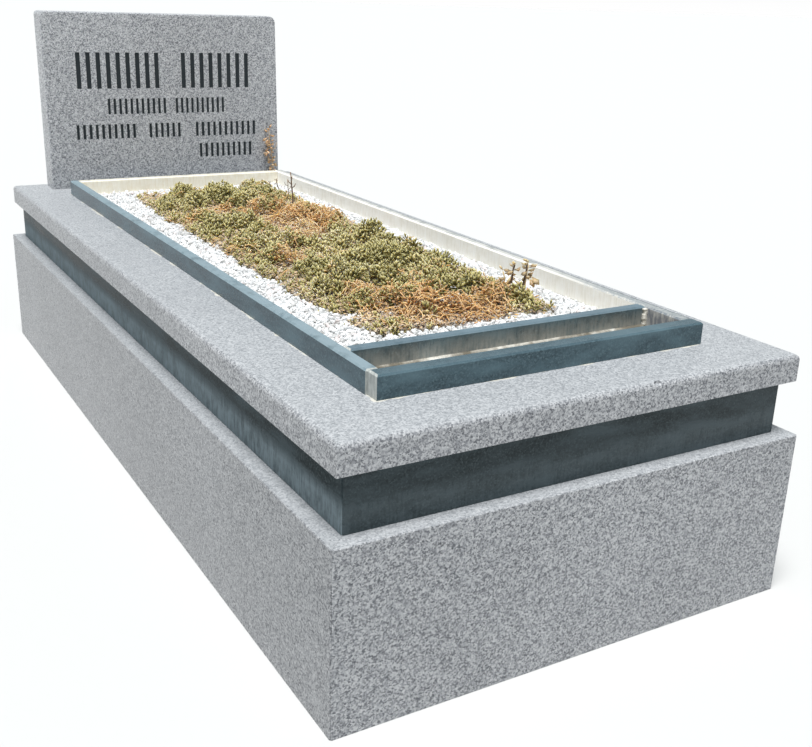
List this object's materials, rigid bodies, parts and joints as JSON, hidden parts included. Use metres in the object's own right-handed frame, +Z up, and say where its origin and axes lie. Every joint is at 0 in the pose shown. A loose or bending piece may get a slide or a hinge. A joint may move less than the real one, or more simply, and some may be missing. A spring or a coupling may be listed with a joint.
{
  "type": "granite grave monument",
  "caption": "Granite grave monument: mitred plinth, recessed dark band, cover slab with a planted bed in a low kerb, trough at the foot and upright headstone.",
  "frame": {"origin": "on the ground, in the middle of the plinth's footprint", "axes": "+Z up, +Y towards the headstone, -Y towards the foot of the grave, X across"},
  "size_m": [0.93, 2.2, 0.9679],
  "materials": {
    "grey_granite": "polished, speckled light and dark grey",
    "dark_granite": "polished faces, sawn inner faces and ends",
    "mortar": "trowelled, matt, stained",
    "earth": "loose, matt",
    "marble_chippings": "broken, matt white",
    "succulent_leaves": "waxy leaves, olive to dried orange brown"
  },
  "bodies": {
    "root": {"plinth_front": "grey_granite", "plinth_back": "grey_granite", "plinth_left": "grey_granite", "plinth_right": "grey_granite", "band_front": "dark_granite", "band_back": "dark_granite", "band_left": "dark_granite", "band_right": "dark_granite", "cover_slab": "grey_granite", "kerb_front": "dark_granite", "kerb_left": "dark_granite", "kerb_right": "dark_granite", "kerb_head": "dark_granite", "kerb_inner": "dark_granite", "trough_floor": "mortar", "headstone": "grey_granite", "earth_fill": "earth", "gravel_bed": "marble_chippings", "ground_cover": "succulent_leaves"}
  },
  "joints": []
}
